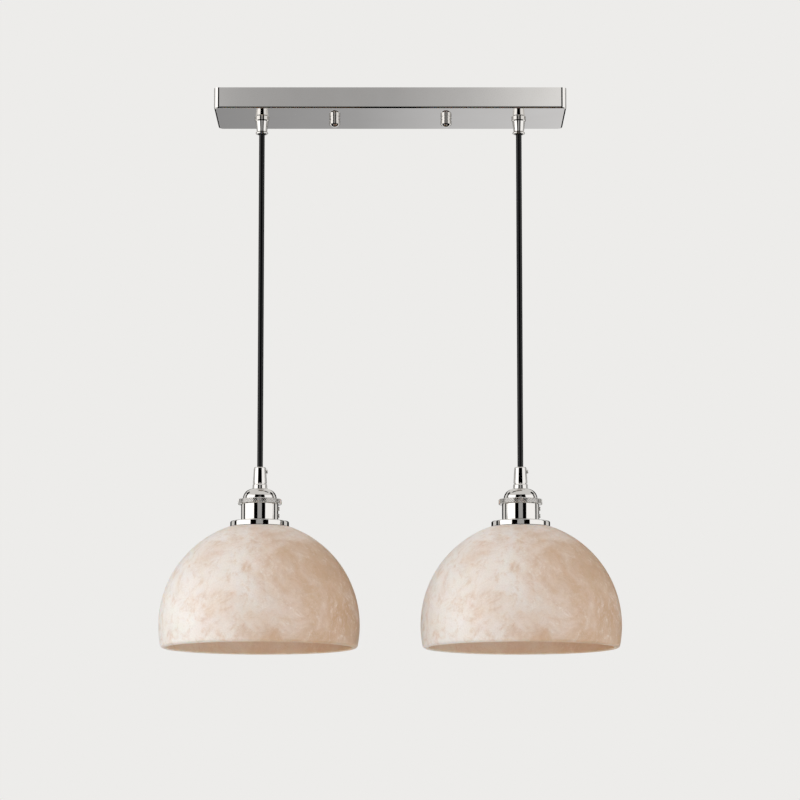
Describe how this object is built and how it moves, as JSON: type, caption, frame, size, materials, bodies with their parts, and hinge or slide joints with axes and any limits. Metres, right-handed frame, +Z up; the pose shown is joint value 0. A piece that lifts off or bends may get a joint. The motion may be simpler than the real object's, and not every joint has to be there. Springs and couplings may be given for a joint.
{
  "type": "pendant light",
  "caption": "Ceiling pendant: polished canopy, straight black cables and domed alabaster bowl shades on stepped polished lampholders that swing from cord grips.",
  "frame": {"origin": "middle of the canopy on the ceiling plane", "axes": "+Z up into the ceiling, +X along the canopy through both pendants, -Y towards the viewer"},
  "size_m": [0.5216, 0.2266, 0.6325],
  "materials": {
    "polished_nickel": "polished nickel plate on brass",
    "alabaster": "honed and waxed alabaster",
    "black_flex": "smooth black PVC sheath",
    "black_nylon": "moulded nylon",
    "white_polyamide": "moulded polyamide",
    "core_insulation": "extruded PVC",
    "zinc_steel": "zinc-plated steel",
    "brass": "bare turned brass",
    "porcelain": "unglazed steatite",
    "gasket_rubber": "die-cut rubber",
    "bulb_aluminium": "rolled aluminium",
    "opal_glass": "opal glass"
  },
  "bodies": {
    "canopy_mount": {"canopy": "polished_nickel", "crossbar": "zinc_steel", "stud_screws": "zinc_steel", "stud_nuts": "zinc_steel", "cap_nuts": "polished_nickel", "earth_screws": "brass", "terminal_block": "white_polyamide", "terminal_inserts": "brass", "terminal_screws": "brass", "block_screw": "zinc_steel", "grip_lock_nuts": "brass", "top_grip_left": "polished_nickel", "cable_tail_left": "black_flex", "canopy_cores_left": "core_insulation", "top_grip_right": "polished_nickel", "cable_tail_right": "black_flex", "canopy_cores_right": "core_insulation"},
    "left_collet": {"collet_left": "black_nylon"},
    "left_pendant": {"hanging_cable_left": "black_flex", "holder_grip_left": "polished_nickel", "grip_screw_left": "polished_nickel", "holder_cap_left": "polished_nickel", "union_ring_left": "polished_nickel", "holder_barrel_left": "polished_nickel", "barrel_screws_left": "polished_nickel", "shade_flange_left": "polished_nickel", "upper_gasket_left": "gasket_rubber", "alabaster_shade_left": "alabaster", "lower_gasket_left": "gasket_rubber", "shade_ring_left": "polished_nickel", "threaded_skirt_left": "polished_nickel", "insulator_left": "porcelain", "screw_shell_left": "brass", "centre_contact_left": "brass", "terminal_posts_left": "brass", "holder_cores_left": "core_insulation", "bulb_cap_left": "bulb_aluminium", "bulb_globe_left": "opal_glass"},
    "right_collet": {"collet_right": "black_nylon"},
    "right_pendant": {"hanging_cable_right": "black_flex", "holder_grip_right": "polished_nickel", "grip_screw_right": "polished_nickel", "holder_cap_right": "polished_nickel", "union_ring_right": "polished_nickel", "holder_barrel_right": "polished_nickel", "barrel_screws_right": "polished_nickel", "shade_flange_right": "polished_nickel", "upper_gasket_right": "gasket_rubber", "alabaster_shade_right": "alabaster", "lower_gasket_right": "gasket_rubber", "shade_ring_right": "polished_nickel", "threaded_skirt_right": "polished_nickel", "insulator_right": "porcelain", "screw_shell_right": "brass", "centre_contact_right": "brass", "terminal_posts_right": "brass", "holder_cores_right": "core_insulation", "bulb_cap_right": "bulb_aluminium", "bulb_globe_right": "opal_glass"}
  },
  "joints": [
    {"name": "left_side_swing", "type": "hinge", "parent": "canopy_mount", "child": "left_collet", "pos_m": [-0.1475, 0, -0.041], "axis": [0, 1, 0], "range_deg": [-3, 15]},
    {"name": "left_front_swing", "type": "hinge", "parent": "left_collet", "child": "left_pendant", "pos_m": [-0.1475, 0, -0.041], "axis": [1, 0, 0], "range_deg": [-15, 15]},
    {"name": "right_side_swing", "type": "hinge", "parent": "canopy_mount", "child": "right_collet", "pos_m": [0.1475, 0, -0.041], "axis": [0, 1, 0], "range_deg": [-15, 3]},
    {"name": "right_front_swing", "type": "hinge", "parent": "right_collet", "child": "right_pendant", "pos_m": [0.1475, 0, -0.041], "axis": [1, 0, 0], "range_deg": [-15, 15]}
  ]
}
